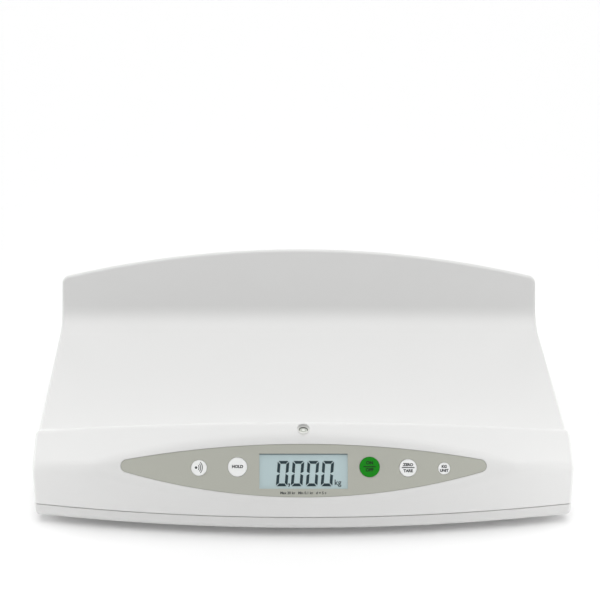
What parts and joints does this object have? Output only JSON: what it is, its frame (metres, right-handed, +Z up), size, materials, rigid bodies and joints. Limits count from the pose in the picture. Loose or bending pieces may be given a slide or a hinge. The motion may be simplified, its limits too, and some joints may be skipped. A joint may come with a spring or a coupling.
{
  "type": "digital baby weighing scale",
  "caption": "Baby scale with a cradle-shaped weighing tray, front console with display and keys, load cell housing and levelling feet.",
  "frame": {"origin": "on the floor under the middle of the scale's overall box, at rest", "axes": "+X along the tray to the right seen from the console, +Y from the console to the leaning back wall, +Z up"},
  "size_m": [0.553, 0.3299, 0.155],
  "materials": {
    "white_shell": "satin moulded ABS, white",
    "white_base": "satin moulded ABS, white",
    "panel_grey": "matt grey panel foil on a carrier",
    "window_clear": "clear window with an anti-glare face",
    "display_glass": "grey-blue liquid crystal glass",
    "light_guide": "translucent light guide",
    "black_frame": "black moulded frame",
    "board": "green solder mask",
    "component_black": "black moulded components",
    "key_grey": "light grey key caps",
    "key_green": "green key cap",
    "plunger_white": "switch plungers",
    "screw_steel": "zinc plated screws and studs",
    "plate_steel": "zinc plated sheet steel",
    "cell_aluminium": "milled aluminium",
    "brass": "turned brass",
    "black_plastic": "black moulded thumb wheels",
    "rubber": "moulded rubber",
    "battery_wrap": "printed wrap, plain",
    "contact_nickel": "nickel plated spring steel",
    "level_white": "white cup",
    "level_vial": "clear vial with liquid"
  },
  "bodies": {
    "base": {"base_shell": "white_base", "foot_inserts": "brass", "base_plate": "plate_steel", "base_plate_screws": "screw_steel", "lower_cell_spacer": "plate_steel", "lower_cell_screws": "screw_steel", "load_cell": "cell_aluminium", "overload_stops": "screw_steel", "batteries": "battery_wrap", "battery_contacts": "contact_nickel"},
    "platform": {"platform_shell": "white_shell", "platform_bracket": "plate_steel", "upper_cell_spacer": "plate_steel", "upper_cell_screws": "screw_steel", "bracket_screws": "screw_steel", "panel_overlay": "panel_grey", "display_window": "window_clear", "lcd_glass": "display_glass", "lcd_backlight": "light_guide", "lcd_frame": "black_frame", "display_board": "board", "switch_bodies": "component_black", "buzzer": "component_black", "board_chips": "component_black", "board_screws": "screw_steel", "level_cup": "level_white", "level_vial": "level_vial"},
    "sound_button": {"sound_key": "key_grey", "sound_plunger": "plunger_white"},
    "hold_button": {"hold_key": "key_grey", "hold_plunger": "plunger_white"},
    "power_button": {"power_key": "key_green", "power_plunger": "plunger_white"},
    "zero_button": {"zero_key": "key_grey", "zero_plunger": "plunger_white"},
    "unit_button": {"unit_key": "key_grey", "unit_plunger": "plunger_white"},
    "door": {"battery_door": "white_base"},
    "pad_1": {"foot_pad_1": "rubber"},
    "screw_1": {"foot_stud_1": "screw_steel", "foot_wheel_1": "black_plastic"},
    "pad_2": {"foot_pad_2": "rubber"},
    "screw_2": {"foot_stud_2": "screw_steel", "foot_wheel_2": "black_plastic"},
    "pad_3": {"foot_pad_3": "rubber"},
    "screw_3": {"foot_stud_3": "screw_steel", "foot_wheel_3": "black_plastic"},
    "pad_4": {"foot_pad_4": "rubber"},
    "screw_4": {"foot_stud_4": "screw_steel", "foot_wheel_4": "black_plastic"}
  },
  "joints": [
    {"name": "platform_travel", "type": "slide", "parent": "base", "child": "platform", "axis": [0, 0, -1], "range_m": [0, 0.0008], "stiffness_N_per_m": 250000, "springref_m": -0.0001, "deforming": ["load_cell"]},
    {"name": "sound_press", "type": "slide", "parent": "platform", "child": "sound_button", "axis": [0, 0.8526, -0.5225], "range_m": [0, 0.0008], "stiffness_N_per_m": 2500, "springref_m": -0.0004},
    {"name": "hold_press", "type": "slide", "parent": "platform", "child": "hold_button", "axis": [0, 0.8526, -0.5225], "range_m": [0, 0.0008], "stiffness_N_per_m": 2500, "springref_m": -0.0004},
    {"name": "power_press", "type": "slide", "parent": "platform", "child": "power_button", "axis": [0, 0.8526, -0.5225], "range_m": [0, 0.0008], "stiffness_N_per_m": 2500, "springref_m": -0.0004},
    {"name": "zero_press", "type": "slide", "parent": "platform", "child": "zero_button", "axis": [0, 0.8526, -0.5225], "range_m": [0, 0.0008], "stiffness_N_per_m": 2500, "springref_m": -0.0004},
    {"name": "unit_press", "type": "slide", "parent": "platform", "child": "unit_button", "axis": [0, 0.8526, -0.5225], "range_m": [0, 0.0008], "stiffness_N_per_m": 2500, "springref_m": -0.0004},
    {"name": "door_hinge", "type": "hinge", "parent": "base", "child": "door", "pos_m": [0.1535, -0.012, 0.011], "axis": [0, 1, 0], "range_deg": [0, 75]},
    {"name": "foot_slide_1", "type": "slide", "parent": "base", "child": "pad_1", "axis": [0, 0, -1], "range_m": [0, 0.004]},
    {"name": "foot_turn_1", "type": "hinge", "parent": "pad_1", "child": "screw_1", "pos_m": [-0.2065, -0.11, 0.005], "axis": [0, 0, -1], "range_deg": [0, 1152]},
    {"name": "foot_slide_2", "type": "slide", "parent": "base", "child": "pad_2", "axis": [0, 0, -1], "range_m": [0, 0.004]},
    {"name": "foot_turn_2", "type": "hinge", "parent": "pad_2", "child": "screw_2", "pos_m": [0.2065, -0.11, 0.005], "axis": [0, 0, -1], "range_deg": [0, 1152]},
    {"name": "foot_slide_3", "type": "slide", "parent": "base", "child": "pad_3", "axis": [0, 0, -1], "range_m": [0, 0.004]},
    {"name": "foot_turn_3", "type": "hinge", "parent": "pad_3", "child": "screw_3", "pos_m": [-0.2065, 0.085, 0.005], "axis": [0, 0, -1], "range_deg": [0, 1152]},
    {"name": "foot_slide_4", "type": "slide", "parent": "base", "child": "pad_4", "axis": [0, 0, -1], "range_m": [0, 0.004]},
    {"name": "foot_turn_4", "type": "hinge", "parent": "pad_4", "child": "screw_4", "pos_m": [0.2065, 0.085, 0.005], "axis": [0, 0, -1], "range_deg": [0, 1152]}
  ],
  "couplings": [
    {"joint": "foot_turn_1", "follows": "foot_slide_1", "rad_per_m": 5026.5},
    {"joint": "foot_turn_2", "follows": "foot_slide_2", "rad_per_m": 5026.5},
    {"joint": "foot_turn_3", "follows": "foot_slide_3", "rad_per_m": 5026.5},
    {"joint": "foot_turn_4", "follows": "foot_slide_4", "rad_per_m": 5026.5}
  ]
}
